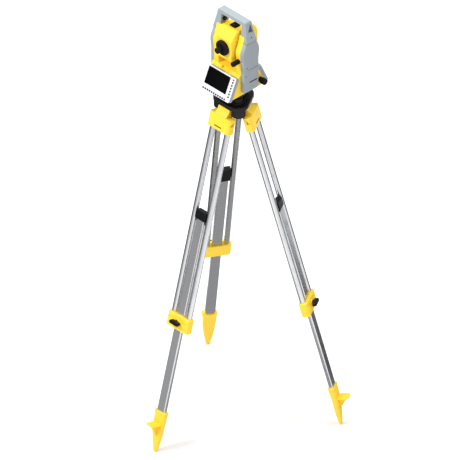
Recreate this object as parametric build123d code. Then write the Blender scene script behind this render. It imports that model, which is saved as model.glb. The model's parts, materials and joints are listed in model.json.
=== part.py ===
"""Surveying total station on a three-legged tripod.

Millimetres, +Z up. The origin is the ground mark under the plumb axis, the operator stands on the -Y side,
and the battery door is on the +X side. The legs stand at azimuths -90, 30 and 150 degrees.
"""
import os
from math import atan2, cos, degrees, radians, sin, tan

from build123d import *

# ---------------------------------------------------------------- driving dimensions: tripod
LEG_AZIMUTHS = {"front": -90.0, "right": 30.0, "back": 150.0}
CORNER_AZIMUTHS = {"a": -30.0, "b": 90.0, "c": 210.0}
FOOT_RADIUS = 410.0          # ground radius of a leg's centre line
APEX_HEIGHT = 1527.0         # where the three centre lines meet
HEAD_TOP = 1367.0
PLATE_THICKNESS = 13.0
PLATE_CORNER_OFFSET = 35.0   # centres of the plate's corner arcs, from the axis
PLATE_CORNER_RADIUS = 44.0
HINGE_RADIUS = 45.0          # leg hinge pins, from the axis
HINGE_HEIGHT = 1335.0
HINGE_PIN_RADIUS = 5.0
HINGE_PIN_LENGTH = 100.0
KNUCKLE_RADIUS = 11.0
KNUCKLE_WIDTH = 56.0
TUBE_RADIUS = 11.0
TUBE_WALL = 1.5
TUBE_SPACING = 74.0
LEG_WIDTH = 108.0
INNER_WIDTH = 38.0
INNER_DEPTH = 16.0
INNER_CORNER = 5.0
RUNNING = 0.06               # radial clearance of a turning pin or shaft
SLIDING = 0.3                # clearance of a sliding fit between two bodies

# ---------------------------------------------------------------- driving dimensions: head and tribrach
HEAD_HOLE_RADIUS = 21.0
CARRIER_SIZE = (18.0, 56.0, 6.0)
CENTRING_TRAVEL = 8.0
FIXING_COLLAR_RADIUS = 15.0   # passes between the lips of the carrier's guide
SCREW_RADIUS = 7.94          # 5/8 inch instrument thread
SCREW_BORE_RADIUS = 5.0
FOOT_SCREW_CIRCLE = 46.0
FOOT_SCREW_RADIUS = 4.0
SPRING_PLATE_TOP = HEAD_TOP + 9.0
TRIBRACH_BOTTOM = 1399.0
TRIBRACH_TOP = 1421.0
SPINDLE_RADIUS = 14.0

# ---------------------------------------------------------------- driving dimensions: instrument
TRUNNION_HEIGHT = 1609.0
TRUNNION_RADIUS = 12.0
BASE_BOTTOM = 1424.0
BASE_TOP = 1513.0
BASE_HALF_WIDTH = 70.0
STANDARD_INNER = 46.0        # inner face of each standard, from the plumb axis
STANDARD_TOP = 1668.0
STANDARD_DEPTH = 37.0        # half depth of a standard along Y
COVER_OUTER = 86.5
COVER_BOTTOM = 1435.0
COVER_TOP = 1645.0
COVER_WALL = 3.0
HANDLE_TOP = 1727.0
HANDLE_INNER_TOP = 1710.0
HANDLE_INNER = 52.0           # inner face of each handle post
HANDLE_SCREW_HEIGHT = 1686.0
HANDLE_FOOT_SCREW = (3.0, 1663.0)         # y, z
LUG_X = (56.0, 64.0)          # lug of the frame inside each handle post
LUG_TOP = 1697.0
TELESCOPE_HALF_WIDTH = 41.0
TELESCOPE_FRONT = -57.0       # y of the eyepiece end's face
TELESCOPE_CROWN = 68.0        # top face, above the trunnion axis
OBJECTIVE_RADIUS = 27.0
FOCUS_BORE_RADIUS = 14.0
FOCUS_RING_RADIUS = 29.8
FOCUS_RING_LENGTH = 13.0
HORIZONTAL_DRIVE_AT = (56.0, 1452.0)     # y, z of the knob's axis
VERTICAL_DRIVE_AT = (59.0, 1568.0)       # x, z of the knob's axis
EYEPIECE_RADIUS = 11.5

# ---------------------------------------------------------------- driving dimensions: display unit
DISPLAY_WIDTH = 142.0
DISPLAY_HEIGHT = 95.0
DISPLAY_DEPTH = 19.0
DISPLAY_TILT = 24.6          # the face leans back from upright
DISPLAY_SHIFT = 4.0          # towards the operator's right
DISPLAY_TOP_EDGE = (-66.0, 1511.0)
SCREEN_WIDTH = 110.0
SCREEN_HEIGHT = 67.0
KEY_RADIUS = 2.5
KEY_TRAVEL = 0.6

LEAN = degrees(atan2(FOOT_RADIUS, APEX_HEIGHT))
YZ = Plane.YZ.location       # turns a sketch so that its x, y become the part's Y, Z


# ---------------------------------------------------------------- helpers
def rod(radius, start, end, axis=Axis.Z, at=(0, 0)):
    """Cylinder along an axis between two stations; at holds the two other coordinates."""
    length = end - start
    middle = (start + end) / 2
    if axis == Axis.X:
        return Pos(middle, at[0], at[1]) * Rot(0, 90, 0) * Cylinder(radius, length)
    if axis == Axis.Y:
        return Pos(at[0], middle, at[1]) * Rot(90, 0, 0) * Cylinder(radius, length)
    return Pos(at[0], at[1], middle) * Cylinder(radius, length)


def block(x, y, z):
    """Box between three pairs of limits."""
    size = (x[1] - x[0], y[1] - y[0], z[1] - z[0])
    return Pos((x[0] + x[1]) / 2, (y[0] + y[1]) / 2, (z[0] + z[1]) / 2) * Box(*size)


def prism_yz(points, x_start, x_end, radius=0.0):
    """Prism along X of an outline given as (y, z) points, its corners rounded by radius."""
    outline = make_face(Polyline(*[(y, z) for y, z in points], close=True))
    if radius:
        outline = fillet(outline.vertices(), radius)
    solid = extrude(outline, x_end - x_start)
    return Pos(x_start, 0, 0) * YZ * solid


def rounded_triangle(offset_radius, corner_radius, bottom, top):
    """Slab with three rounded corners, one in each direction of CORNER_AZIMUTHS."""
    corners = [(offset_radius * cos(radians(a)), offset_radius * sin(radians(a)))
               for a in CORNER_AZIMUTHS.values()]
    core = make_face(Polyline(*corners, close=True))
    return Pos(0, 0, bottom) * extrude(offset(core, amount=corner_radius, kind=Kind.ARC), top - bottom)


def around(azimuth, part):
    """Turn a part that was drawn in the +X direction to an azimuth about the plumb axis."""
    return Rot(0, 0, azimuth) * part


def leg_frame(azimuth):
    """Frame of a leg: x out of its face, y across it, z up along its centre line from the ground."""
    return Rot(0, 0, azimuth) * Pos(FOOT_RADIUS, 0, 0) * Rot(0, -LEAN, 0)


def in_leg(radius, height):
    """Leg coordinates (x, z) of a point at a radius and a height."""
    out, up = radius - FOOT_RADIUS, height
    lean = radians(LEAN)
    return out * cos(lean) + up * sin(lean), -out * sin(lean) + up * cos(lean)


def soften(part, edges, radius):
    """Fillet edges by the largest of a few radii that the shape takes."""
    for trial in (radius, radius * 0.7, radius * 0.45, radius * 0.25):
        try:
            result = fillet(edges, trial)
            if result.is_valid:
                return result
        except Exception:
            continue
    return part


def save(name, *solids):
    """Write one named sub-part."""
    shape = solids[0] if len(solids) == 1 else Compound(children=list(solids))
    shape.label = name
    export_step(shape, f"parts/{name}.step")


# ---------------------------------------------------------------- legs, in leg coordinates
HINGE_X, HINGE_Z = in_leg(HINGE_RADIUS, HINGE_HEIGHT)
TIP_X, TIP_Z = in_leg(400.0, 0.0)
COLLAR_BOTTOM = 1304.0
COLLAR_SHOULDER = 1362.0
TUBE_TOP = 1346.0
CLAMP_BOTTOM, CLAMP_TOP = 502.0, 557.0
TUBE_BOTTOM = 516.0
SHOE_RIM = 168.0
INNER_BOTTOM, INNER_TOP = 92.0, 968.0
LEG_BACK, LEG_FRONT = -16.0, 18.0
CLAMP_SCREW_Z = 531.0
CLAMP_SCREW_RADIUS = 4.0
TUBES_Y = (-TUBE_SPACING / 2, TUBE_SPACING / 2)


def leg_section(bottom, top, front, back, radius):
    """Block across both tubes with rounded upright edges."""
    body = block((back, front), (-LEG_WIDTH / 2, LEG_WIDTH / 2), (bottom, top))
    return fillet(body.edges().filter_by(Axis.Z), radius)


def leg_collar():
    body = leg_section(COLLAR_BOTTOM, COLLAR_SHOULDER, LEG_FRONT, LEG_BACK, 11)
    half = KNUCKLE_WIDTH / 2
    neck = block((HINGE_X - KNUCKLE_RADIUS, HINGE_X + KNUCKLE_RADIUS), (-half, half), (1356.0, HINGE_Z))
    brow = Pos(0, half, 0) * Rot(90, 0, 0) * extrude(
        make_face(Polyline((HINGE_X + 8, HINGE_Z), (LEG_FRONT - 2, COLLAR_SHOULDER),
                           (HINGE_X, COLLAR_SHOULDER - 2), (HINGE_X, HINGE_Z), close=True)), KNUCKLE_WIDTH)
    body = body + neck + brow + rod(KNUCKLE_RADIUS, -half, half, Axis.Y, (HINGE_X, HINGE_Z))
    body -= rod(HINGE_PIN_RADIUS + RUNNING, -half - 1, half + 1, Axis.Y, (HINGE_X, HINGE_Z))
    for y in TUBES_Y:
        body -= rod(TUBE_RADIUS, COLLAR_BOTTOM - 1, TUBE_TOP, at=(0, y))
    body -= block((LEG_FRONT - 2.5, LEG_FRONT + 1), (-18, 18), (1316.0, 1319.5))
    body -= block((LEG_BACK - 1, -LEG_BACK - 4), (-21, 21), (COLLAR_BOTTOM - 1, 1330.0))
    for side in (-1, 1):
        notch = make_face(Polyline((-3, 1336), (13, 1336), (-3, 1356), close=True))
        body -= Pos(0, side * LEG_WIDTH / 2 + 8, 0) * Rot(90, 0, 0) * extrude(notch, 16)
    outline = body.edges().filter_by(Axis.Y).group_by(Axis.X)[-1]
    return soften(body, outline.filter_by(lambda e: e.length > 60), 4)


def leg_tubes():
    tubes = []
    for y in TUBES_Y:
        outer = rod(TUBE_RADIUS, TUBE_BOTTOM, TUBE_TOP, at=(0, y))
        tubes.append(outer - rod(TUBE_RADIUS - TUBE_WALL, TUBE_BOTTOM - 1, TUBE_TOP + 1, at=(0, y)))
    return tubes


def inner_slot(bottom, top, gap):
    profile = RectangleRounded(INNER_DEPTH + 2 * gap, INNER_WIDTH + 2 * gap, INNER_CORNER + gap)
    return Pos(0, 0, bottom) * extrude(profile, top - bottom)


def leg_clamp():
    body = leg_section(CLAMP_BOTTOM, CLAMP_TOP, LEG_FRONT, LEG_BACK + 1, 11)
    lip = [edge for edge in body.edges().group_by(Axis.Z)[-1] + body.edges().group_by(Axis.Z)[0]]
    body = soften(body, lip, 2.5)
    boss = rod(13, LEG_FRONT - 2, LEG_FRONT + 4, Axis.X, (0, CLAMP_SCREW_Z))
    body = body + boss - inner_slot(CLAMP_BOTTOM - 1, CLAMP_TOP + 1, SLIDING)
    for y in TUBES_Y:
        body -= rod(TUBE_RADIUS, TUBE_BOTTOM, CLAMP_TOP + 1, at=(0, y))
        body -= block((LEG_FRONT - 3, LEG_FRONT + 1), (y - 9, y + 9), (CLAMP_BOTTOM + 12, CLAMP_BOTTOM + 15))
        body -= block((LEG_FRONT - 3, LEG_FRONT + 1), (y - 9, y + 9), (CLAMP_TOP - 19, CLAMP_TOP - 16))
    body -= rod(CLAMP_SCREW_RADIUS + RUNNING, 5, LEG_FRONT + 5, Axis.X, (0, CLAMP_SCREW_Z))
    return body


def clamp_knob():
    stem = rod(CLAMP_SCREW_RADIUS, INNER_DEPTH / 2 + 0.6, LEG_FRONT + 8, Axis.X, (0, CLAMP_SCREW_Z))
    hub = rod(9.5, LEG_FRONT + 4.6, LEG_FRONT + 18, Axis.X, (0, CLAMP_SCREW_Z))
    wing = Pos(LEG_FRONT + 7, 0, CLAMP_SCREW_Z) * YZ * extrude(SlotOverall(44, 15), 14)
    wing = fillet(wing.edges().group_by(Axis.X)[-1], 3)
    hub = fillet(hub.edges().group_by(Axis.X)[-1], 2)
    return stem + wing + hub


def inner_leg():
    wall = 2.0
    outer = inner_slot(INNER_BOTTOM, INNER_TOP, 0)
    return outer - inner_slot(INNER_BOTTOM - 1, INNER_TOP + 1, -wall)


def leg_cap():
    outline = make_face(Polyline((12.0, 976), (12.0, 944), (-11.0, 918), (-11.0, 976), close=True))
    cap = Pos(0, 25.2, 0) * Rot(90, 0, 0) * extrude(outline, 50.4)
    cap = fillet(cap.edges().filter_by(Axis.Z), 3.5)
    cap -= inner_slot(900, INNER_TOP, 0)
    cap = soften(cap, cap.edges().group_by(Axis.Z)[-1], 2)
    return cap - rod(2.2, 11, 13, Axis.X, (0, 952))


def foot_shoe():
    rim = RectangleRounded(22, 52, 6)
    waist = RectangleRounded(20, 46, 6)
    body = loft([Pos(0, 0, SHOE_RIM - 6) * rim, Pos(0, 0, 96) * waist])
    body += Pos(0, 0, SHOE_RIM - 6) * extrude(RectangleRounded(24, 54, 7), 6)
    body += loft([Pos(0, 0, 96) * waist, Pos(TIP_X * 0.72, 0, 30) * RectangleRounded(15, 25, 5),
                  Pos(TIP_X, 0, TIP_Z - 4) * RectangleRounded(7, 9, 3)])
    body -= inner_slot(INNER_BOTTOM, SHOE_RIM + 1, 0)
    tread = Pos(30, 0, 116) * extrude(RectangleRounded(46, 38, 8), 5)
    for x in (28, 36, 44):
        tread += block((x, x + 3), (-14, 14), (121, 122.6))
    tread -= block((-20, 10), (-30, 30), (110, 125))
    web = Pos(0, 3, 0) * Rot(90, 0, 0) * extrude(
        make_face(Polyline((9.5, 117), (46, 117), (9.5, 72), close=True)), 6)
    return body + tread + web


def make_legs():
    for name, azimuth in LEG_AZIMUTHS.items():
        place = leg_frame(azimuth)
        save(f"{name}_leg_collar", place * leg_collar())
        save(f"{name}_leg_tubes", *[place * tube for tube in leg_tubes()])
        save(f"{name}_leg_clamp", place * leg_clamp())
        save(f"{name}_clamp_knob", place * clamp_knob())
        save(f"{name}_inner_leg", place * inner_leg())
        save(f"{name}_leg_cap", place * leg_cap())
        ground = block((-900, 900), (-900, 900), (-60, 0))
        save(f"{name}_foot_shoe", place * foot_shoe() - ground)


# ---------------------------------------------------------------- tripod head
def tripod_head():
    bottom = HEAD_TOP - PLATE_THICKNESS
    head = rounded_triangle(PLATE_CORNER_OFFSET, PLATE_CORNER_RADIUS, bottom, HEAD_TOP)
    head = fillet(head.edges().group_by(Axis.Z)[-1], 2.5)
    half = KNUCKLE_WIDTH / 2 + 0.7
    for azimuth in CORNER_AZIMUTHS.values():
        boss = rod(26.5, bottom - 38, bottom + 2, at=(51, 0))
        head += around(azimuth, chamfer(boss.edges().group_by(Axis.Z)[0], 6))
    for azimuth in LEG_AZIMUTHS.values():
        head -= around(azimuth, block((10, 100), (-half, half), (1300, bottom - 2)))
        head -= around(azimuth, rod(HINGE_PIN_RADIUS, -HINGE_PIN_LENGTH / 2, HINGE_PIN_LENGTH / 2,
                                    Axis.Y, (HINGE_RADIUS, HINGE_HEIGHT)))
    head -= Pos(0, 0, HEAD_TOP) * Cylinder(HEAD_HOLE_RADIUS, 60)
    rail_x = CARRIER_SIZE[0] / 2 + CENTRING_TRAVEL + 4
    rail_y = CARRIER_SIZE[1] / 2
    carrier_bottom = bottom - CARRIER_SIZE[2]
    head -= block((-rail_x, rail_x), (-rail_y - SLIDING, rail_y + SLIDING),
                  (carrier_bottom - SLIDING, bottom))
    for side in (-1, 1):
        edge = sorted((side * (rail_y + SLIDING), side * (rail_y + 3.3)))
        lip = sorted((side * (rail_y - 3), side * (rail_y + 3.3)))
        head += block((-rail_x, rail_x), edge, (carrier_bottom - 2.5, bottom))
        head += block((-rail_x, rail_x), lip, (carrier_bottom - 2.8, carrier_bottom - SLIDING))
    return head


def hinge_pins():
    half = HINGE_PIN_LENGTH / 2
    return [around(a, rod(HINGE_PIN_RADIUS, -half, half, Axis.Y, (HINGE_RADIUS, HINGE_HEIGHT)))
            for a in LEG_AZIMUTHS.values()]


def screw_carrier():
    top = HEAD_TOP - PLATE_THICKNESS
    bar = Pos(0, 0, top - CARRIER_SIZE[2] / 2) * Box(*CARRIER_SIZE)
    slot_length = 2 * (CENTRING_TRAVEL + SCREW_RADIUS + SLIDING)
    opening = SlotOverall(slot_length, 2 * (SCREW_RADIUS + SLIDING))
    slot = Pos(0, 0, top - 20) * Rot(0, 0, 90) * extrude(opening, 30)
    return bar - slot


def fixing_screw():
    shoulder = HEAD_TOP - PLATE_THICKNESS - CARRIER_SIZE[2]
    screw = rod(SCREW_RADIUS, shoulder - 30, HEAD_TOP + 8)
    knob = rod(22, shoulder - 30, shoulder - 3.3)
    knob = fillet(knob.edges().group_by(Axis.Z)[0], 4)
    for turn in range(12):
        knob -= around(turn * 30, rod(2.5, shoulder - 31, shoulder - 7, at=(23.2, 0)))
    collar = rod(FIXING_COLLAR_RADIUS, shoulder - 5, shoulder)
    screw = screw + knob + collar + rod(10, shoulder - 42, shoulder - 29)
    return screw - rod(SCREW_BORE_RADIUS, shoulder - 50, HEAD_TOP + 10)


# ---------------------------------------------------------------- tribrach
def spring_plate():
    plate = rounded_triangle(FOOT_SCREW_CIRCLE - 8, 24, HEAD_TOP, SPRING_PLATE_TOP)
    plate = fillet(plate.edges().group_by(Axis.Z)[-1], 2)
    hub = rod(17, HEAD_TOP, HEAD_TOP + 15)
    plate += fillet(hub.edges().group_by(Axis.Z)[-1], 1.5)
    plate -= rod(SCREW_RADIUS + RUNNING, HEAD_TOP - 1, HEAD_TOP + 16)
    for azimuth in CORNER_AZIMUTHS.values():
        plate -= around(azimuth, rod(FOOT_SCREW_RADIUS + RUNNING, HEAD_TOP + 4, SPRING_PLATE_TOP + 1,
                                     at=(FOOT_SCREW_CIRCLE, 0)))
    return plate


def foot_screw():
    centre = (FOOT_SCREW_CIRCLE, 0)
    knob = rod(17.5, SPRING_PLATE_TOP + 3, SPRING_PLATE_TOP + 21, at=centre)
    knob = chamfer(knob.edges(), 1.2)
    for turn in range(24):
        flute = rod(1.1, SPRING_PLATE_TOP, SPRING_PLATE_TOP + 25, at=(17.9, 0))
        knob -= Pos(*centre, 0) * Rot(0, 0, turn * 15) * flute
    stem = rod(FOOT_SCREW_RADIUS, HEAD_TOP + 4.2, TRIBRACH_TOP - 5, at=centre)
    return knob + stem


def tribrach_body():
    body = rounded_triangle(34, 26, TRIBRACH_BOTTOM, TRIBRACH_TOP - 6)
    body = fillet(body.edges().group_by(Axis.Z)[-1] + body.edges().group_by(Axis.Z)[0], 2)
    body += rod(46, TRIBRACH_BOTTOM, TRIBRACH_TOP)
    body -= rod(SPINDLE_RADIUS + RUNNING, TRIBRACH_BOTTOM + 7, TRIBRACH_TOP + 1)
    body -= rod(8, TRIBRACH_BOTTOM - 1, TRIBRACH_TOP)
    for azimuth in CORNER_AZIMUTHS.values():
        body -= around(azimuth, rod(FOOT_SCREW_RADIUS + RUNNING, TRIBRACH_BOTTOM - 1, TRIBRACH_TOP - 4.5,
                                    at=(FOOT_SCREW_CIRCLE, 0)))
    skirt = rod(24, SPRING_PLATE_TOP + 8, TRIBRACH_BOTTOM + 1)
    skirt -= rod(19, SPRING_PLATE_TOP + 7, TRIBRACH_BOTTOM + 2)
    pad = around(-90, block((40, 62), (-13, 13), (TRIBRACH_BOTTOM + 1, TRIBRACH_TOP - 8)))
    body += skirt + (pad - around(-90, rod(9, TRIBRACH_TOP - 16, TRIBRACH_TOP - 7, at=(54, 0))))
    return body - around(30, rod(4 + RUNNING, 39, 50, Axis.X, (0, TRIBRACH_BOTTOM + 9)))


def lock_lever():
    height = TRIBRACH_BOTTOM + 9
    pivot = rod(4, 39.5, 52, Axis.X, (0, height))
    arm = Pos(50.5, 0, height) * YZ * extrude(Pos(8, 0) * SlotOverall(34, 14), 7)
    return around(30, pivot + fillet(arm.edges().group_by(Axis.X)[-1], 2))


def circular_level():
    vial = rod(9, TRIBRACH_TOP - 16, TRIBRACH_TOP - 6, at=(54, 0))
    return around(-90, fillet(vial.edges().group_by(Axis.Z)[-1], 1))


# ---------------------------------------------------------------- alidade
def base_outline():
    """Outline (y, z) of the base: its front and back walls carry the two display units."""
    slope = tan(radians(DISPLAY_TILT))
    back = DISPLAY_TOP_EDGE[0] + DISPLAY_DEPTH * cos(radians(DISPLAY_TILT))
    low = DISPLAY_TOP_EDGE[1] - DISPLAY_DEPTH * sin(radians(DISPLAY_TILT))
    foot = back - (low - BASE_BOTTOM) * slope
    half = [(foot, BASE_BOTTOM), (back, low), (-42.0, BASE_TOP)]
    return half + [(-y, z) for y, z in reversed(half)]


def wavy_outline(half_depth, bottom, top, top_half_depth):
    """Face in (y, z): straight sides below, a bulge at trunnion height, and a waist towards the handle."""
    bulge = half_depth + 3
    right = Spline((half_depth, 1562), (bulge, TRUNNION_HEIGHT), (half_depth - 5.5, 1632),
                   (top_half_depth, top), tangents=((0, 1), (-0.3, 1)), tangent_scalars=(0.9, 0.9))
    left = mirror(right, about=Plane.YZ)
    lower = Polyline((-half_depth, 1562), (-half_depth, bottom), (half_depth, bottom), (half_depth, 1562))
    upper = Line((top_half_depth, top), (-top_half_depth, top))
    return make_face(Curve() + [right, left, lower, upper])


def along_x(face, x_start, x_end):
    return Pos(x_start, 0, 0) * YZ * extrude(face, x_end - x_start)


def both_sides(x_start, x_end):
    """The x limits of a feature on the right side and of its twin on the left."""
    return (x_start, x_end), (-x_end, -x_start)


def alidade_frame():
    body = prism_yz(base_outline(), -BASE_HALF_WIDTH, BASE_HALF_WIDTH)
    body = fillet(body.edges().filter_by(Axis.X).group_by(Axis.Z)[-1], 6)
    outline = wavy_outline(STANDARD_DEPTH, BASE_BOTTOM, STANDARD_TOP, 20.5)
    for limits in both_sides(STANDARD_INNER, BASE_HALF_WIDTH):
        standard = along_x(outline, *limits)
        body += soften(standard, standard.edges().group_by(Axis.Z)[-1], 3)
    for pocket in both_sides(STANDARD_INNER + 5, BASE_HALF_WIDTH + 1):
        body -= block(pocket, (-31, 31), (BASE_TOP - 4, 1590))
        body -= block(pocket, (-16, 16), (1628, STANDARD_TOP - 8))
    for lug in both_sides(*LUG_X):
        body += block(lug, (-11, 11), (STANDARD_TOP - 1, LUG_TOP))
        body -= rod(3.3, lug[0] - 1, lug[1] + 1, Axis.X, (0, HANDLE_SCREW_HEIGHT))
    body -= block((-BASE_HALF_WIDTH - 1, BASE_HALF_WIDTH + 1), (-33, 33), (BASE_BOTTOM + 12, BASE_TOP - 9))
    body -= block((BASE_HALF_WIDTH - 10.5, BASE_HALF_WIDTH + 1), (-10, 28), (BASE_TOP - 10, 1523))
    body -= rod(TRUNNION_RADIUS + RUNNING, -BASE_HALF_WIDTH - 1, BASE_HALF_WIDTH + 1, Axis.X,
                (0, TRUNNION_HEIGHT))
    body -= rod(SPINDLE_RADIUS, BASE_BOTTOM - 1, BASE_BOTTOM + 13)
    for side in (-1, 1):
        body -= block((-22, 22), sorted((side * 36, side * 50)), (BASE_TOP - 10, BASE_TOP + 1))
    body -= rod(4 + RUNNING, -50, -30, Axis.Y, VERTICAL_DRIVE_AT)
    body -= rod(5 + RUNNING, 40, BASE_HALF_WIDTH + 1, Axis.X, HORIZONTAL_DRIVE_AT)
    return body


def spindle():
    flange = rod(24, BASE_BOTTOM + 12, BASE_BOTTOM + 17)
    shaft = rod(SPINDLE_RADIUS, TRIBRACH_BOTTOM + 8, BASE_BOTTOM + 12)
    return flange + shaft - rod(5, TRIBRACH_BOTTOM, BASE_BOTTOM + 20)


def cover_outline(inset):
    """Outline of a side cover, moved inwards by inset."""
    face = wavy_outline(38 - inset, COVER_BOTTOM + inset, COVER_TOP - inset, 26.5 - inset)
    return fillet(face.vertices().group_by(Axis.Y)[0], 12 - inset)


def cover_shell(side):
    """Side cover with an open inner side; side is 1 for right and -1 for left."""
    body = along_x(cover_outline(0), BASE_HALF_WIDTH, COVER_OUTER)
    body = soften(body, body.edges().group_by(Axis.X)[-1], 7)
    body -= along_x(cover_outline(COVER_WALL), BASE_HALF_WIDTH - 1, COVER_OUTER - COVER_WALL)
    return body if side > 0 else mirror(body, about=Plane.YZ)


SCREW_SPOTS = ((-22.0, 1541.0), (-28.0, 1508.0))
DOOR_Y = (-14.0, 32.0)
DOOR_HINGE = (84.0, 1531.0)
DOOR_BOTTOM = 1456.0


def cover_holes(body, side):
    for y, z in SCREW_SPOTS:
        limits = sorted((side * 80, side * 90))
        body -= rod(2.6, *limits, Axis.X, (y, z))
    return body


def right_cover():
    """Right cover with the doorway of the battery, its ledge and the barrel of its hinge."""
    low, high = DOOR_Y
    hinge_x, hinge_z = DOOR_HINGE
    gap = (low - 0.4, high + 0.4)
    ledge = block((78.5, 82.5), (low - 4, high + 4), (DOOR_BOTTOM - 4, hinge_z + 4))
    barrel = block((79, 84), (low - 3, high + 3), (hinge_z - 5, hinge_z + 6))
    body = cover_shell(1) + (ledge & cover_fill()) + (barrel & cover_fill())
    body -= block((82.8, 90), gap, (DOOR_BOTTOM - 0.4, hinge_z))
    body -= rod(2.56, *gap, Axis.Y, DOOR_HINGE)
    body -= block((hinge_x, 90), gap, (hinge_z - 1, hinge_z + 3.2))
    body -= block((70, 84), (low + 4, high - 4), (DOOR_BOTTOM + 5, hinge_z - 9))
    return cover_holes(body, 1)


def cover_fill():
    """Solid inside of the right cover."""
    return along_x(cover_outline(1), BASE_HALF_WIDTH + 2, COVER_OUTER - 1)


def left_cover():
    body = cover_shell(-1)
    body -= block((-90, -COVER_OUTER + 1), (-26, 26), (1462, 1463.2))
    return cover_holes(body, -1)


def battery_door():
    plate = block((83.1, 86.2), DOOR_Y, (DOOR_BOTTOM, DOOR_HINGE[1] - 2.7))
    plate = soften(plate, plate.edges().filter_by(Axis.X), 3)
    plate -= block((85, 88), (-10, 27), (1473.5, 1478))
    neck = block((83.1, 85.0), DOOR_Y, (DOOR_HINGE[1] - 3.5, DOOR_HINGE[1]))
    return plate + neck + rod(2.5, *DOOR_Y, Axis.Y, DOOR_HINGE)


def battery():
    body = block((BASE_HALF_WIDTH - 9.5, 80.5), (DOOR_Y[0] + 5, DOOR_Y[1] - 5),
                 (DOOR_BOTTOM + 6, DOOR_HINGE[1] - 10))
    return fillet(body.edges().filter_by(Axis.X), 2)


def cover_screws():
    """Slotted heads in both covers, and one in each foot of the handle."""
    spots = [(83.5, 86.1, spot) for spot in SCREW_SPOTS] + [(79.5, 82.4, HANDLE_FOOT_SCREW)]
    screws = []
    for side in (-1, 1):
        for seat, top, (y, z) in spots:
            head = rod(2.6, *sorted((side * seat, side * top)), Axis.X, (y, z))
            slot = block(sorted((side * (top - 0.7), side * 90)), (y - 2, y + 2), (z - 0.4, z + 0.4))
            screws.append(head - slot)
    return screws


def handle():
    """Bar and two posts: the posts stand on the standards and reach down outside them to the covers."""
    seat = STANDARD_TOP + 0.1
    right_edge = [(COVER_OUTER, COVER_TOP), (69, HANDLE_TOP)]
    inner = [(HANDLE_INNER, HANDLE_INNER_TOP), (HANDLE_INNER, seat), (BASE_HALF_WIDTH + 0.1, seat),
             (BASE_HALF_WIDTH + 0.1, COVER_TOP)]
    outer = make_face(Polyline(*right_edge, *[(-x, z) for x, z in reversed(right_edge)], close=True))
    hole = make_face(Polyline(*inner, *[(-x, z) for x, z in reversed(inner)], close=True))
    front = outer - hole
    front = fillet(front.vertices().group_by(Axis.Y)[-1], 8)
    body = Pos(0, 50, 0) * Rot(90, 0, 0) * extrude(front, 100)
    flank = Spline((26.5, COVER_TOP), (20.5, 1672), (14.5, HANDLE_TOP), tangents=((-0.32, 1), (-0.09, 1)))
    foot = Line((-26.5, COVER_TOP), (26.5, COVER_TOP))
    crown = Line((-14.5, HANDLE_TOP), (14.5, HANDLE_TOP))
    side = make_face(Curve() + [flank, mirror(flank, about=Plane.YZ), foot, crown])
    side = fillet(side.vertices().group_by(Axis.Y)[-1], 6)
    body &= along_x(side, -100, 100)
    body = soften(body, body.edges().filter_by(Axis.X), 3)
    for limits in both_sides(66, 95):
        body -= prism_yz([(-11, 1680), (15, 1680), (6, 1720)], *limits, 3)
    for limits in both_sides(HANDLE_INNER - 1, HANDLE_INNER + 3):
        body -= prism_yz([(-12, 1674), (14, 1674), (3, 1701)], *limits, 3)
        body -= rod(10, *limits, Axis.X, (0, HANDLE_SCREW_HEIGHT))
    for low, high in both_sides(*LUG_X):
        body -= block((low - 0.2, high + 0.2), (-11.2, 11.2), (STANDARD_TOP - 1, LUG_TOP + 1))
    for limits in both_sides(HANDLE_INNER, 70):
        body -= rod(3, *limits, Axis.X, (0, HANDLE_SCREW_HEIGHT))
    for limits in both_sides(79.5, 90):
        body -= rod(2.6, *limits, Axis.X, HANDLE_FOOT_SCREW)
    return body


def handle_screws():
    """Thumb screws through the posts, each with a grip inside and a round end in the outer recess."""
    at = (0, HANDLE_SCREW_HEIGHT)
    screws = []
    for sign in (-1, 1):
        knob = rod(9.3, *sorted((sign * 46.5, sign * (HANDLE_INNER + 3))), Axis.X, at)
        shank = rod(3, *sorted((sign * 53, sign * 67)), Axis.X, at)
        end = rod(5.5, *sorted((sign * 66, sign * 69.5)), Axis.X, at)
        screws.append(chamfer(knob.edges(), 1) + shank + end)
    return screws


def drive_knob(radius, length):
    """Knurled knob on a stem along +X, its shoulder at the origin."""
    knob = rod(radius, 0, length, Axis.X)
    knob = chamfer(knob.edges(), 1.5)
    for turn in range(18):
        knob -= Rot(turn * 20, 0, 0) * rod(1.2, 3, length + 1, Axis.X, (0, radius + 0.3))
    return knob


def vertical_drive_knob():
    """Coaxial clamp ring and drive knob on one stem."""
    ring = chamfer(rod(9.5, 0, 9, Axis.X).edges(), 1)
    knob = ring + rod(7.5, 8, 12, Axis.X) + Pos(11, 0, 0) * drive_knob(9.5, 21) + rod(4, -11, 1, Axis.X)
    return Pos(VERTICAL_DRIVE_AT[0], -STANDARD_DEPTH - 1.5, VERTICAL_DRIVE_AT[1]) * Rot(0, 0, -90) * knob


def horizontal_drive_knob():
    return Pos(BASE_HALF_WIDTH + 1.5, *HORIZONTAL_DRIVE_AT) * (
        rod(10.5, 0, 8, Axis.X) + Pos(7, 0, 0) * drive_knob(12, 22) + rod(5, -14, 1, Axis.X))


# ---------------------------------------------------------------- display units
def display_frame(turn):
    """Frame of a display face: x right, y up along the face, z out of it; origin at the face centre."""
    tilt = radians(DISPLAY_TILT)
    centre_y = DISPLAY_TOP_EDGE[0] - DISPLAY_HEIGHT / 2 * sin(tilt)
    centre_z = DISPLAY_TOP_EDGE[1] - DISPLAY_HEIGHT / 2 * cos(tilt)
    return Rot(0, 0, turn) * Pos(DISPLAY_SHIFT, centre_y, centre_z) * Rot(90 - DISPLAY_TILT, 0, 0)


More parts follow.
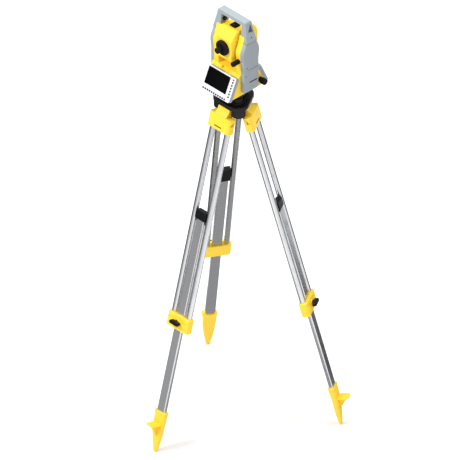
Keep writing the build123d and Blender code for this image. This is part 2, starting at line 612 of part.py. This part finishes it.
SCREEN_CENTRE = (-9.0, 9.8)
KEY_ROW = [(-60.0 + 10.8 * i, -41.0) for i in range(11)]
KEY_COLUMN = [(61.5, 29.5 - 11.2 * i) for i in range(6)]
POWER_KEY = (61.5, 40.0)
KEY_BORE_DEPTH = 4.0


def display_housing():
    shell = extrude(RectangleRounded(DISPLAY_WIDTH, DISPLAY_HEIGHT, 8), -DISPLAY_DEPTH)
    shell = soften(shell, shell.edges().group_by(Axis.Z)[-1] + shell.edges().group_by(Axis.Z)[0], 2.5)
    shell -= Pos(*SCREEN_CENTRE, -2.2) * extrude(RectangleRounded(SCREEN_WIDTH, SCREEN_HEIGHT, 1.5), 3)
    for spot in KEY_ROW + KEY_COLUMN + [POWER_KEY]:
        shell -= Pos(*spot, -KEY_BORE_DEPTH) * extrude(Circle(KEY_RADIUS + SLIDING), KEY_BORE_DEPTH + 1)
    inside = RectangleRounded(DISPLAY_WIDTH - 8, DISPLAY_HEIGHT - 8, 5)
    shell -= Pos(0, 0, -DISPLAY_DEPTH + 3) * extrude(inside, 11)
    return shell


def display_screen():
    return Pos(*SCREEN_CENTRE, -2.2) * extrude(RectangleRounded(SCREEN_WIDTH, SCREEN_HEIGHT, 1.5), 1.7)


def key_at(spot, radius=KEY_RADIUS):
    foot = KEY_BORE_DEPTH - KEY_TRAVEL - 0.2
    key = Pos(*spot, -foot) * extrude(Circle(radius), foot + 1.2)
    return fillet(key.edges().group_by(Axis.Z)[-1], 0.8)


def make_display(name, turn):
    place = display_frame(turn)
    save(f"{name}_display_housing", place * display_housing())
    save(f"{name}_screen", place * display_screen())
    save(f"{name}_keys", *[place * key_at(spot) for spot in KEY_ROW + KEY_COLUMN])
    save(f"{name}_power_key", place * key_at(POWER_KEY))


# ---------------------------------------------------------------- telescope, on the trunnion axis
def telescope_housing():
    front, crown = TELESCOPE_FRONT, TELESCOPE_CROWN
    outline = [(front, -46), (front, 38), (-36, crown), (54, crown), (70, 52), (78, 32), (78, -42), (36, -52),
               (-44, -58)]
    body = prism_yz(outline, -TELESCOPE_HALF_WIDTH, TELESCOPE_HALF_WIDTH, 5)
    body = soften(body, body.edges().group_by(Axis.X)[0] + body.edges().group_by(Axis.X)[-1], 7)
    cavity = [(front + 5, -40), (front + 5, 34), (-33, crown - 5), (50, crown - 5), (64, 48), (70, 28),
              (70, -36), (34, -46), (-42, -53)]
    hollow = prism_yz(cavity, -TELESCOPE_HALF_WIDTH + 4, TELESCOPE_HALF_WIDTH - 4)
    tube = rod(OBJECTIVE_RADIUS + 2.5, 8, 76, Axis.Y) + rod(FOCUS_BORE_RADIUS + 2.5, front + 2, 12, Axis.Y)
    body = body - hollow + tube
    for limits in both_sides(15, TELESCOPE_HALF_WIDTH - 1):
        body += rod(TRUNNION_RADIUS + 4, *limits, Axis.X)
    body += rod(12.94, front - 9, front + 3, Axis.Y)
    body -= rod(OBJECTIVE_RADIUS, 12, 80, Axis.Y)
    body -= rod(FOCUS_BORE_RADIUS, -48, 13, Axis.Y)
    body -= rod(9.06, front - 10, -47, Axis.Y)
    for limits in both_sides(TELESCOPE_HALF_WIDTH - 10, TELESCOPE_HALF_WIDTH + 2):
        body -= rod(TRUNNION_RADIUS, *limits, Axis.X)
    return body - rod(2.2, front - 1, front + 1, Axis.Y, (-24, 26))


def optical_sight():
    """Sighting block on the crown with a small tube through it."""
    foot, top = TELESCOPE_CROWN, TELESCOPE_CROWN + 8
    base = block((-15, 15), (-13, 15), (foot, foot + 3))
    base = fillet(base.edges().filter_by(Axis.Z), 3)
    hood = block((-11, 11), (-10, 12), (foot + 3, top))
    hood = fillet(hood.edges().filter_by(Axis.Z) + hood.edges().group_by(Axis.Z)[-1], 2)
    tube = rod(4.5, 5, 21, Axis.Y, (0, top))
    return base + hood + tube - rod(2, 0, 30, Axis.Y, (0, top))


def objective_cell():
    ring = rod(OBJECTIVE_RADIUS + 4, 78, 83, Axis.Y) + rod(OBJECTIVE_RADIUS, 66, 79, Axis.Y)
    ring -= rod(OBJECTIVE_RADIUS - 3, 60, 90, Axis.Y)
    return chamfer(ring.edges().group_by(Axis.Y)[-1], 1)


def objective_lens():
    front = Pos(0, 76 - 60 + 3, 0) * Sphere(60)
    return front & rod(OBJECTIVE_RADIUS - 3, 70, 84, Axis.Y)


def focus_ring():
    """Knurled ring on the housing's boss, its domed face closing in to the eyepiece."""
    back = TELESCOPE_FRONT - 0.5
    face = back - FOCUS_RING_LENGTH
    ring = rod(FOCUS_RING_RADIUS, face, back, Axis.Y)
    ring = chamfer(ring.edges().group_by(Axis.Y)[0], 5, 7.5)
    for turn in range(30):
        ring -= Rot(0, turn * 12, 0) * rod(1.3, face - 1, back + 1, Axis.Y, (FOCUS_RING_RADIUS + 0.4, 0))
    return ring - rod(13, TELESCOPE_FRONT - 9.2, back + 1, Axis.Y) - rod(9.3, face - 1, back, Axis.Y)


def focusing_lens():
    return rod(FOCUS_BORE_RADIUS - SLIDING, -18, -8, Axis.Y)


def eyepiece_ring():
    body = rod(9, -75, -60, Axis.Y) + rod(EYEPIECE_RADIUS, -91, -72, Axis.Y)
    body = chamfer(body.edges().group_by(Axis.Y)[0], 1)
    for turn in range(18):
        body -= Rot(0, turn * 20, 0) * rod(0.9, -88, -74, Axis.Y, (EYEPIECE_RADIUS + 0.2, 0))
    return body - rod(7.5, -95, -58, Axis.Y)


def eyepiece_lens():
    return rod(7.5, -89.5, -86, Axis.Y)


def trunnion_shafts():
    return [rod(TRUNNION_RADIUS, *limits, Axis.X)
            for limits in both_sides(TELESCOPE_HALF_WIDTH - 10, BASE_HALF_WIDTH - 4)]


def make_telescope():
    place = Pos(0, 0, TRUNNION_HEIGHT)
    save("telescope_housing", place * telescope_housing())
    save("trunnion_shafts", *[place * shaft for shaft in trunnion_shafts()])
    save("optical_sight", place * optical_sight())
    save("objective_cell", place * objective_cell())
    save("objective_lens", place * objective_lens())
    save("focus_ring", place * focus_ring())
    save("focusing_lens", place * focusing_lens())
    save("eyepiece_ring", place * eyepiece_ring())
    save("eyepiece_lens", place * eyepiece_lens())


def make_instrument():
    save("vertical_spindle", spindle())
    save("alidade_frame", alidade_frame())
    save("right_cover", right_cover())
    save("left_cover", left_cover())
    save("handle", handle())
    save("handle_screws", *handle_screws())
    save("cover_screws", *cover_screws())
    save("battery", battery())
    save("battery_door", battery_door())
    save("vertical_drive_knob", vertical_drive_knob())
    save("horizontal_drive_knob", horizontal_drive_knob())


def make_head():
    save("tripod_head", tripod_head())
    save("leg_hinge_pins", *hinge_pins())
    save("screw_carrier", screw_carrier())
    save("fixing_screw", fixing_screw())
    save("tribrach_spring_plate", spring_plate())
    for name, azimuth in CORNER_AZIMUTHS.items():
        save(f"foot_screw_{name}", around(azimuth, foot_screw()))
    save("tribrach_body", tribrach_body())
    save("lock_lever", lock_lever())
    save("circular_level", circular_level())


os.makedirs("parts", exist_ok=True)
make_legs()
make_head()
make_instrument()
make_display("front", 0)
make_display("back", 180)
make_telescope()
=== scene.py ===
"""Finishes and fine pieces of a surveying total station on its tripod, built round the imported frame."""
import json
from math import atan2, cos, pi, radians, sin

import bpy
from mathutils import Matrix, Vector


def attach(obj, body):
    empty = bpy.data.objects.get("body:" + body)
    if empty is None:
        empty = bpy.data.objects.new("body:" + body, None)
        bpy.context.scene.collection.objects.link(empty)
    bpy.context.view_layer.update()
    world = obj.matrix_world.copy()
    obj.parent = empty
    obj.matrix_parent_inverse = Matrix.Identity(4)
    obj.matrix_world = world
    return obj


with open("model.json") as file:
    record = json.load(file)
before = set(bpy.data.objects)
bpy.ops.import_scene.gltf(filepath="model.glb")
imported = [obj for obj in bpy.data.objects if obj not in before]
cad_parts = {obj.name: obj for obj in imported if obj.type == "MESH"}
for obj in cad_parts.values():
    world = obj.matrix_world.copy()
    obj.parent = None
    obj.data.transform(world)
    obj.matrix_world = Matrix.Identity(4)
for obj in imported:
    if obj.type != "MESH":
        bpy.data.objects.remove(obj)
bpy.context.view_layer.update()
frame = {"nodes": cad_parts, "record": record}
NODES = frame["nodes"]

# The operator stands on -Y; the legs stand at these azimuths, leaning in towards the plumb axis.
LEG_AZIMUTHS = {"front": radians(-90), "right": radians(30), "back": radians(150)}
FOOT_RADIUS = 0.410
LEG_LEAN = atan2(FOOT_RADIUS, 1.527)

# The display faces: place and lean of the front one; the back one is its twin, turned half round.
DISPLAY_LEAN = radians(90 - 24.6)
DISPLAY_HALF_HEIGHT = 0.0475
DISPLAY_CENTRE = Vector((0.004, -0.066 - DISPLAY_HALF_HEIGHT * cos(DISPLAY_LEAN),
                         1.511 - DISPLAY_HALF_HEIGHT * sin(DISPLAY_LEAN)))
DISPLAY_TURNS = {"front": 0.0, "back": pi}
KEY_ROW = [(-0.0600 + 0.0108 * i, -0.0410) for i in range(11)]
KEY_COLUMN = [(0.0615, 0.0295 - 0.0112 * i) for i in range(6)]
POWER_KEY = (0.0615, 0.0400)

# The middle of the camera's view: its azimuth, and the level directions to its right and towards it.
VIEW_AZIMUTH = radians(45.8)
VIEW_RIGHT = Vector((cos(VIEW_AZIMUTH), sin(VIEW_AZIMUTH), 0))
VIEW_TOWARDS = Vector((sin(VIEW_AZIMUTH), -cos(VIEW_AZIMUTH), 0))
CARD_DISTANCE = 0.62
CARD_HEIGHT = 1.7


def leg_place(azimuth):
    """Frame of a leg: x out of its face, y across it, z up along it."""
    return Matrix.Rotation(azimuth, 4, "Z") @ Matrix.Translation((FOOT_RADIUS, 0, 0)) \
        @ Matrix.Rotation(-LEG_LEAN, 4, "Y")


def display_place(turn):
    """Frame of a display face: x right, y up along the face, z out of it."""
    return Matrix.Rotation(turn, 4, "Z") @ Matrix.Translation(DISPLAY_CENTRE) \
        @ Matrix.Rotation(DISPLAY_LEAN, 4, "X")


# ---------------------------------------------------------------- shader maths
class Value:
    """A shader socket that takes part in ordinary arithmetic."""

    def __init__(self, finish, socket):
        self.finish = finish
        self.socket = socket

    def math(self, operation, *others):
        sockets = {i: v for i, v in enumerate((self,) + others)}
        return self.finish.node("Math", {"operation": operation}, sockets)

    def __add__(self, other):
        return self.math("ADD", other)

    def __sub__(self, other):
        return self.math("SUBTRACT", other)

    def __mul__(self, other):
        return self.math("MULTIPLY", other)

    __radd__ = __add__
    __rmul__ = __mul__

    def above(self, level, softness):
        """0 below level and 1 above it, over a soft band."""
        return self.finish.node("MapRange", {"interpolation_type": "SMOOTHSTEP"},
                                {0: self, 1: level - softness, 2: level + softness, 3: 0.0, 4: 1.0})


class Finish:
    """A material, built node by node."""

    def __init__(self, name, **constants):
        self.material = bpy.data.materials.new(name)
        self.material.use_nodes = True
        self.tree = self.material.node_tree
        self.tree.nodes.clear()
        self.out = self.tree.nodes.new("ShaderNodeOutputMaterial")
        self.body = self.tree.nodes.new("ShaderNodeBsdfPrincipled")
        self.tree.links.new(self.body.outputs[0], self.out.inputs["Surface"])
        for socket, value in constants.items():
            self.feed(self.body.inputs[socket.replace("_", " ")], value)
        self.place = self.node("TexCoord", {}, {}, "Object")

    def feed(self, socket, value):
        if isinstance(value, Value):
            self.tree.links.new(value.socket, socket)
        elif hasattr(socket.default_value, "__len__") and not hasattr(value, "__len__"):
            socket.default_value = [value] * len(socket.default_value)
        else:
            socket.default_value = value

    def node(self, kind, settings=None, sockets=None, out=0):
        """One shader node: its settings come first, then the values or links of its sockets."""
        made = self.tree.nodes.new("ShaderNode" + kind)
        for name, value in (settings or {}).items():
            if name == "stops":
                ramp = made.color_ramp
                while len(ramp.elements) < len(value):
                    ramp.elements.new(0.5)
                for element, (position, colour) in zip(ramp.elements, value):
                    element.position, element.color = position, colour
            else:
                setattr(made, name, value)
        for name, value in (sockets or {}).items():
            self.feed(made.inputs[name], value)
        return Value(self, made.outputs[out])

    def noise(self, scale, detail=2.0, roughness=0.5, at=None):
        sockets = {"Vector": at or self.place, "Scale": scale, "Detail": detail, "Roughness": roughness}
        return self.node("TexNoise", {"noise_dimensions": "3D"}, sockets)

    def cells(self, scale):
        return self.node("TexVoronoi", {"feature": "F1"}, {"Vector": self.place, "Scale": scale})

    def mapped(self, vector, **settings):
        """A vector put through a Mapping node."""
        return self.node("Mapping", {}, {"Vector": vector, **settings})

    def mix(self, share, low, high):
        """A colour between low and high."""
        mixed = self.tree.nodes.new("ShaderNodeMix")
        mixed.data_type = "RGBA"
        self.feed(mixed.inputs[0], share)
        self.feed(mixed.inputs[6], low)
        self.feed(mixed.inputs[7], high)
        return Value(self, mixed.outputs[2])

    def height(self):
        """The object's own Z, in metres."""
        return self.node("SeparateXYZ", {}, {0: self.place}, 2)

    def set(self, socket, value):
        self.feed(self.body.inputs[socket], value)

    def bump(self, height, distance, strength=1.0):
        sockets = {"Strength": strength, "Distance": distance, "Height": height}
        self.set("Normal", self.node("Bump", {}, sockets))


def colour(red, green, blue):
    """A colour given as 0 to 255 display values."""
    def linear(channel):
        share = channel / 255
        return share / 12.92 if share <= 0.04045 else ((share + 0.055) / 1.055) ** 2.4
    return (linear(red), linear(green), linear(blue), 1.0)


# ---------------------------------------------------------------- finishes
def moulded(name, base, worn, rough, grain_size=0.0007, grain_depth=0.00004, gloss=0.5):
    """Moulded plastic with an eroded tool grain, faint clouding and rubbed patches."""
    finish = Finish(name, IOR=1.47, Specular_IOR_Level=gloss)
    cloud = finish.noise(9.0, 3.0)
    rubbed = finish.noise(38.0, 5.0, 0.6).above(0.62, 0.10)
    finish.set("Base Color", finish.mix(rubbed * 0.35 + cloud * 0.25, base, worn))
    finish.set("Roughness", (cloud - 0.5) * 0.10 + rubbed * 0.10 + rough)
    grain = finish.noise(1 / grain_size, 2.0) + finish.cells(0.8 / grain_size) * 0.5
    finish.bump(grain, grain_depth)
    return finish.material


def drawn_aluminium(name, azimuth, tone):
    """Drawn, clear anodised aluminium: die lines run along the leg, with handling marks over them."""
    finish = Finish(name, Metallic=1.0, IOR=1.45)
    along = finish.mapped(finish.place, Rotation=(0, 0, -azimuth))
    lean = finish.mapped(along, Rotation=(0, LEG_LEAN, 0))
    lines = finish.mapped(lean, Scale=(900, 900, 3))
    die = finish.noise(1.0, 3.0, 0.6, lines)
    streaks = finish.mapped(lean, Scale=(160, 160, 1.2))
    band = finish.noise(1.0, 2.0, 0.5, streaks)
    smudge = finish.noise(22.0, 4.0, 0.6).above(0.6, 0.12)
    dark = tuple(c * 0.78 for c in tone[:3]) + (1.0,)
    finish.set("Base Color", finish.mix(band * 0.5 + smudge * 0.2, tone, dark))
    finish.set("Roughness", die * 0.14 + band * 0.08 + smudge * 0.12 + 0.14)
    finish.bump(die, 0.00002, 0.5)
    return finish.material


def machined(name, tone, rough):
    """Turned metal with fine tool rings."""
    finish = Finish(name, Metallic=1.0)
    patch = finish.noise(60.0, 4.0)
    finish.set("Base Color", finish.mix(patch * 0.4, tone, tuple(c * 0.7 for c in tone[:3]) + (1.0,)))
    finish.set("Roughness", patch * 0.2 + rough)
    finish.bump(finish.noise(1800.0, 2.0), 0.00002, 0.5)
    return finish.material


def rubbery(name, base, rough):
    finish = Finish(name, IOR=1.5, Specular_IOR_Level=0.15)
    cloud = finish.noise(45.0, 4.0)
    pale = tuple(min(1, c * 2.2 + 0.01) for c in base[:3]) + (1.0,)
    finish.set("Base Color", finish.mix(cloud * 0.5, base, pale))
    finish.set("Roughness", cloud * 0.2 + rough)
    finish.bump(finish.noise(2200.0, 2.0), 0.00005)
    return finish.material


def powder_coat(name, base, rough):
    """Powder coat: an orange-peel skin with faint clouding."""
    finish = Finish(name, IOR=1.5, Specular_IOR_Level=0.22)
    peel = finish.noise(700.0, 2.0)
    cloud = finish.noise(14.0, 3.0)
    pale = tuple(min(1, c * 1.8 + 0.012) for c in base[:3]) + (1.0,)
    finish.set("Base Color", finish.mix(cloud * 0.6, base, pale))
    finish.set("Roughness", (cloud - 0.5) * 0.12 + rough)
    finish.bump(peel, 0.00006)
    return finish.material


def lens(name, tint, sheen_tint):
    """Coated optical glass, drawn opaque and dark inside, with a painted sheen: its colour turns to a paler
    tint where the glass is seen edge-on.
    """
    finish = Finish(name, IOR=1.6, Specular_IOR_Level=0.3, Coat_IOR=1.5, Coat_Roughness=0.02)
    # Painted sheen: the base colour turns from the tint to the paler sheen tint as the surface turns edge-on
    # to the view.
    edge_on_sheen = finish.node("LayerWeight", {}, {"Blend": 0.35}, "Facing")
    finish.set("Base Color", finish.mix(edge_on_sheen, tint, sheen_tint))
    finish.set("Roughness", finish.noise(40.0, 2.0) * 0.03 + 0.03)
    finish.set("Coat Weight", 0.4)
    return finish.material


def display_shell(name, face, side):
    """The display housing: a pale face plate over a grey shell, split a little behind the face."""
    finish = Finish(name, IOR=1.47)
    depth = finish.node("SeparateXYZ", {}, {0: finish.place}, 1).math("ABSOLUTE")
    outward = depth * sin(DISPLAY_LEAN) + finish.height() * cos(DISPLAY_LEAN)
    level = -DISPLAY_CENTRE[1] * sin(DISPLAY_LEAN) + DISPLAY_CENTRE[2] * cos(DISPLAY_LEAN)
    plate = outward.above(level - 0.0028, 0.0002)
    cloud = finish.noise(12.0, 3.0)
    finish.set("Base Color", finish.mix(plate, side, face))
    finish.set("Roughness", (cloud - 0.5) * 0.10 + 0.38)
    grain = finish.noise(1400.0, 2.0) + finish.cells(1100.0) * 0.5
    finish.bump(grain, 0.00004)
    return finish.material


def screen_glass(name):
    """A switched-off display: near-black glass with faint smears."""
    finish = Finish(name, IOR=1.5, Specular_IOR_Level=0.06)
    smear = finish.noise(30.0, 4.0, 0.6)
    finish.set("Base Color", finish.mix(smear, colour(4, 4, 5), colour(10, 10, 12)))
    finish.set("Roughness", smear * 0.12 + 0.10)
    return finish.material


YELLOW = moulded("yellow_moulding", colour(255, 218, 58), colour(254, 206, 44), 0.36, gloss=0.4)
YELLOW_CAST = moulded("yellow_coated_casting", colour(255, 216, 58), colour(244, 196, 40), 0.38,
                      grain_size=0.0009, grain_depth=0.00006)
GREY = moulded("grey_moulding", colour(154, 163, 168), colour(144, 153, 160), 0.42)
SHELL = display_shell("display_housing_shell", colour(226, 230, 236), colour(150, 159, 165))
BLACK = moulded("black_moulding", colour(13, 13, 14), colour(24, 24, 26), 0.40, gloss=0.22)
BLACK_CAST = powder_coat("black_powder_coat", colour(12, 13, 14), 0.42)
GRIP = rubbery("rubber_grip", colour(11, 11, 12), 0.55)
KEY = rubbery("key_rubber", colour(10, 10, 12), 0.5)
RED_KEY = rubbery("red_key_rubber", colour(206, 34, 20), 0.45)
CREAM = moulded("cream_strip", colour(238, 232, 205), colour(230, 222, 190), 0.4)
STEEL = machined("bright_steel", colour(190, 192, 196), 0.22)
DARK_STEEL = machined("blackened_steel", colour(70, 72, 76), 0.30)
BRASS = machined("machined_brass", colour(200, 165, 95), 0.25)
# Both glasses carry a painted sheen: a paler colour where they are seen edge-on.
LENS = lens("coated_lens", colour(8, 11, 22), colour(44, 56, 88))
LEVEL = lens("level_vial", colour(150, 190, 60), colour(210, 230, 140))
SCREEN = screen_glass("dark_screen")
LEG_METAL = {leg: drawn_aluminium(f"{leg}_leg_aluminium", azimuth, colour(219, 220, 223))
             for leg, azimuth in LEG_AZIMUTHS.items()}

BY_SLOT = {
    "yellow_plastic": YELLOW, "yellow_paint": YELLOW_CAST, "grey_shell": GREY, "black_plastic": BLACK,
    "black_casting": BLACK_CAST, "rubber_grip": GRIP, "steel": STEEL, "brass": BRASS, "lens_glass": LENS,
    "level_glass": LEVEL, "screen_glass": SCREEN, "white_face": SHELL, "key_black": KEY, "power_red": RED_KEY,
    "battery_case": BLACK,
}


def finish_nodes():
    """Give every frame node the finish of its slot; the tubes take their own leg's."""
    slot_of = {entry["node"]: entry["material_slot"] for entry in frame["record"]["subparts"]}
    for name, node in NODES.items():
        if slot_of[name] == "leg_tube":
            material = LEG_METAL[name.split("_")[0]]
        elif name == "cover_screws":
            material = DARK_STEEL
        else:
            material = BY_SLOT[slot_of[name]]
        if not node.data.materials:
            node.data.materials.append(material)
        for index in range(len(node.material_slots)):
            node.material_slots[index].material = material


finish_nodes()


# ---------------------------------------------------------------- fine pieces
def start_piece(add, **settings):
    """A new primitive with nothing else selected."""
    bpy.ops.object.select_all(action="DESELECT")
    add(**settings)
    return bpy.context.object


def apply_modifier(piece, kind, **settings):
    modifier = piece.modifiers.new(kind.lower(), kind)
    for name, value in settings.items():
        setattr(modifier, name, value)
    bpy.ops.object.modifier_apply(modifier=modifier.name)


def settle(piece, name, place, body, material):
    """Move a finished piece to its place, with its place in its mesh, and let it ride on a body."""
    bpy.ops.object.select_all(action="DESELECT")
    piece.select_set(True)
    bpy.context.view_layer.objects.active = piece
    piece.name = name
    piece.matrix_world = place @ piece.matrix_world
    bpy.ops.object.transform_apply(location=True, rotation=True, scale=True)
    bpy.ops.object.shade_smooth_by_angle(angle=radians(35))
    piece.data.materials.clear()
    piece.data.materials.append(material)
    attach(piece, body)
    return piece


def strip(size, centre, rounding):
    """A flat bar with rounded edges."""
    piece = start_piece(bpy.ops.mesh.primitive_cube_add, size=1, location=centre)
    piece.scale = size
    bpy.ops.object.transform_apply(location=True, rotation=False, scale=True)
    apply_modifier(piece, "BEVEL", width=rounding, segments=3, limit_method="ANGLE")
    return piece


def key_cap(radius, low, high):
    """A moulded key cap: a straight skirt, a rounded shoulder and a slightly dished top."""
    piece = start_piece(bpy.ops.mesh.primitive_cylinder_add, vertices=24, radius=radius, depth=high - low,
                        location=(0, 0, (low + high) / 2))
    bpy.ops.object.transform_apply(location=True, rotation=False, scale=False)
    select_top_faces(piece, high)
    bpy.ops.mesh.inset(thickness=radius * 0.28, depth=0)
    bpy.ops.mesh.inset(thickness=radius * 0.25, depth=-0.00012)
    bpy.ops.object.mode_set(mode="OBJECT")
    apply_modifier(piece, "BEVEL", width=(high - low) * 0.35, segments=3, limit_method="ANGLE",
                   angle_limit=radians(50))
    return piece


def select_top_faces(piece, level):
    """Edit mode with only the faces at that height selected."""
    bpy.ops.object.mode_set(mode="EDIT")
    bpy.ops.mesh.select_mode(type="FACE")
    bpy.ops.mesh.select_all(action="DESELECT")
    bpy.ops.object.mode_set(mode="OBJECT")
    for polygon in piece.data.polygons:
        polygon.select = polygon.normal.z > 0.9 and abs(polygon.center.z - level) < 1e-5
    bpy.ops.object.mode_set(mode="EDIT")


def copies(piece, places):
    """The piece repeated at each place, each copy with its own mesh, joined into one object."""
    made = []
    for place in places:
        copy = piece.copy()
        copy.data = piece.data.copy()
        bpy.context.scene.collection.objects.link(copy)
        copy.matrix_world = place @ piece.matrix_world
        made.append(copy)
    bpy.data.objects.remove(piece)
    bpy.ops.object.select_all(action="DESELECT")
    for copy in made:
        copy.select_set(True)
    bpy.context.view_layer.objects.active = made[0]
    bpy.ops.object.join()
    bpy.ops.object.transform_apply(location=True, rotation=True, scale=True)
    return made[0]


def ring(radius, thickness, centre):
    return start_piece(bpy.ops.mesh.primitive_torus_add, major_radius=radius, minor_radius=thickness,
                       major_segments=48, minor_segments=10, location=centre)


def leg_pieces():
    """The dark liner of the strap slot in each collar."""
    for leg, azimuth in LEG_AZIMUTHS.items():
        liner = strip((0.0026, 0.0366, 0.0046), (0.01685, 0, 1.31775), 0.0005)
        settle(liner, f"{leg}_collar_slot_liner", leg_place(azimuth), f"{leg}_upper_leg",
               BLACK)


def display_pieces():
    """Key caps, power key caps and the pale strip along the top edge of the front display."""
    for side, turn in DISPLAY_TURNS.items():
        place = display_place(turn)
        spots = [Matrix.Translation((x, y, 0)) for x, y in KEY_ROW + KEY_COLUMN]
        caps = copies(key_cap(0.0034, 0.0009, 0.0019), spots)
        settle(caps, f"{side}_key_caps", place, f"{side}_keys", KEY)
        power = copies(key_cap(0.0036, 0.0009, 0.0020), [Matrix.Translation((*POWER_KEY, 0))])
        settle(power, f"{side}_power_key_cap", place, f"{side}_power_key", RED_KEY)
    top_edge = strip((0.033, 0.0010, 0.0052), (0.0205, DISPLAY_HALF_HEIGHT, -0.0085), 0.0004)
    settle(top_edge, "front_display_strip", display_place(0), "alidade", CREAM)


def level_pieces():
    """The bezel and the setting circle of the circular level."""
    bezel = ring(0.0092, 0.0009, (0, -0.054, 1.4150))
    settle(bezel, "level_bezel", Matrix(), "tribrach", BLACK)
    circle = ring(0.0040, 0.00025, (0, -0.054, 1.4151))
    settle(circle, "level_setting_circle", Matrix(), "tribrach", BLACK)


def door_pieces():
    liner = strip((0.0014, 0.0374, 0.0050), (0.08565, 0.0085, 1.47575), 0.0004)
    settle(liner, "battery_door_grip_liner", Matrix(), "battery_door", BLACK)


leg_pieces()
display_pieces()
level_pieces()
door_pieces()


# ---------------------------------------------------------------- stage
def area_light(name, place, aim, size, power, tint=(1, 1, 1)):
    light = bpy.data.lights.new(name, "AREA")
    light.shape, light.size, light.energy, light.color = "DISK", size, power, tint
    lamp = bpy.data.objects.new(name, light)
    bpy.context.scene.collection.objects.link(lamp)
    lamp.location = place
    lamp.rotation_euler = (Vector(aim) - Vector(place)).to_track_quat("-Z", "Y").to_euler()
    return lamp


def reflected_only(card, name, level):
    """Make a card that only reflections see, of an even grey."""
    card.name = f"studio_{name}"
    card.visible_camera = card.visible_diffuse = card.visible_shadow = False
    card.visible_transmission = card.visible_volume_scatter = False
    finish = Finish(f"{card.name}_paper", Roughness=1.0, Specular_IOR_Level=0.0, Emission_Strength=1.0)
    finish.set("Base Color", colour(0, 0, 0))
    finish.set("Emission Color", (level, level, level, 1.0))
    card.data.materials.append(finish.material)


def side_card(name, side, near, far, level):
    """An upright card beside the object, which draws the edges of the tubes."""
    card = start_piece(bpy.ops.mesh.primitive_plane_add, size=1)
    middle = VIEW_RIGHT * side * CARD_DISTANCE + VIEW_TOWARDS * (near + far) / 2
    middle.z = CARD_HEIGHT / 2
    card.matrix_world = Matrix.Translation(middle) @ Matrix.Rotation(VIEW_AZIMUTH, 4, "Z") \
        @ Matrix.Rotation(pi / 2, 4, "Y") @ Matrix.Diagonal((CARD_HEIGHT, near - far, 1, 1))
    reflected_only(card, name, level)


def ground_card():
    """A grey disc under the tripod: the inner sides of the legs reflect it in place of the bright floor. Its
    grey is painted shade, standing for the shaded floor under the tripod.
    """
    card = start_piece(bpy.ops.mesh.primitive_circle_add, vertices=64, radius=0.75, fill_type="NGON",
                       location=(0, 0, 0.004))
    # Painted shade: this grey level stands for the shaded floor under the tripod, seen only in reflections.
    reflected_only(card, "ground_card", 0.38)


def studio():
    floor = start_piece(bpy.ops.mesh.primitive_plane_add, size=60)
    floor.name = "studio_floor"
    finish = Finish("studio_floor_paper", Roughness=0.9)
    finish.set("Base Color", colour(252, 252, 252))
    floor.data.materials.append(finish.material)
    world = bpy.data.worlds.new("studio")
    bpy.context.scene.world = world
    world.use_nodes = True
    world.node_tree.nodes["Background"].inputs[0].default_value = (1.0, 1.0, 1.0, 1.0)
    world.node_tree.nodes["Background"].inputs[1].default_value = 0.70
    area_light("key_light", (-1.6, -3.6, 5.2), (0, 0, 1), 1.6, 200)
    area_light("top_light", (0.6, 0.8, 6.0), (0, 0, 1), 2.4, 150)
    side_card("right_card", 1, 0.10, -0.35, 0.10)
    side_card("left_card", -1, 0.10, -1.80, 0.10)
    side_card("left_front_card", -1, 0.60, 0.10, 0.45)
    ground_card()
    bpy.context.scene.view_settings.view_transform = "Standard"


def camera():
    """A long lens far off, which sees the object almost in parallel."""
    distance, elevation = 70.0, radians(35.3)
    back = VIEW_TOWARDS * cos(elevation) + Vector((0, 0, sin(elevation)))
    aim = Vector((0, 0, 0.781)) - VIEW_RIGHT * 0.0172
    lens_data = bpy.data.cameras.new("camera")
    lens_data.sensor_width = 36.0
    lens_data.lens = 36.0 * distance / 1.656
    lens_data.clip_start, lens_data.clip_end = 1.0, 200.0
    eye = bpy.data.objects.new("camera", lens_data)
    bpy.context.scene.collection.objects.link(eye)
    eye.location = aim + back * distance
    eye.rotation_euler = back.to_track_quat("Z", "Y").to_euler()
    bpy.context.scene.camera = eye


studio()
camera()
